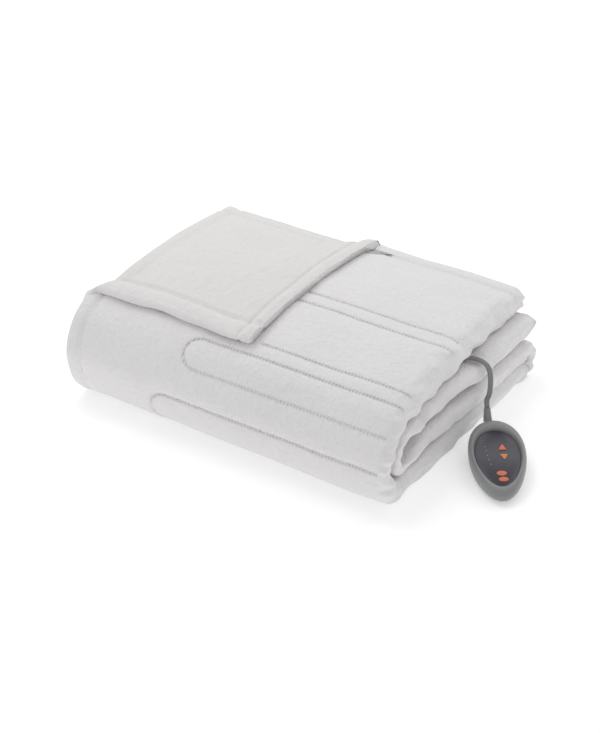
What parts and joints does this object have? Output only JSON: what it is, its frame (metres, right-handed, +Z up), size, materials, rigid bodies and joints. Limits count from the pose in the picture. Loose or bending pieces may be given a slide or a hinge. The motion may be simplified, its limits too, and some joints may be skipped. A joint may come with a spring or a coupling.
{
  "type": "folded electric heated blanket with handset",
  "caption": "Plush electric blanket folded into a soft bundle with one corner turned back, and a wedge-shaped push-button handset on a flat lead.",
  "frame": {"origin": "on the resting surface, under the middle of the folded bundle", "axes": "+X along the bundle towards the end where the lead comes out, -Y towards the rounded near side, +Z up"},
  "size_m": [0.6662, 0.4231, 0.1714],
  "materials": {
    "plush": "short white pile",
    "housing": "satin mid-grey moulded plastic",
    "face": "smooth charcoal panel",
    "button": "matt orange",
    "light": "small unlit lamps",
    "lead": "grey flexible lead, satin"
  },
  "bodies": {
    "blanket_and_handset": {"blanket": "plush", "handset_housing": "housing", "handset_face": "face", "light_1": "light", "light_2": "light", "light_3": "light", "light_4": "light", "light_5": "light", "lead_gland": "lead", "lead": "lead", "lead_hank": "lead"},
    "button_up": {"button_up": "button"},
    "button_down": {"button_down": "button"},
    "button_upper_oval": {"button_upper_oval": "button"},
    "button_lower_oval": {"button_lower_oval": "button"}
  },
  "joints": [
    {"name": "press_up", "type": "slide", "parent": "blanket_and_handset", "child": "button_up", "axis": [-0.0726, 0.1188, -0.9903], "range_m": [0, 0.0007], "stiffness_N_per_m": 600, "springref_m": -0.0015},
    {"name": "press_down", "type": "slide", "parent": "blanket_and_handset", "child": "button_down", "axis": [-0.0726, 0.1188, -0.9903], "range_m": [0, 0.0007], "stiffness_N_per_m": 600, "springref_m": -0.0015},
    {"name": "press_upper_oval", "type": "slide", "parent": "blanket_and_handset", "child": "button_upper_oval", "axis": [-0.0726, 0.1188, -0.9903], "range_m": [0, 0.0007], "stiffness_N_per_m": 600, "springref_m": -0.0015},
    {"name": "press_lower_oval", "type": "slide", "parent": "blanket_and_handset", "child": "button_lower_oval", "axis": [-0.0726, 0.1188, -0.9903], "range_m": [0, 0.0007], "stiffness_N_per_m": 600, "springref_m": -0.0015}
  ]
}
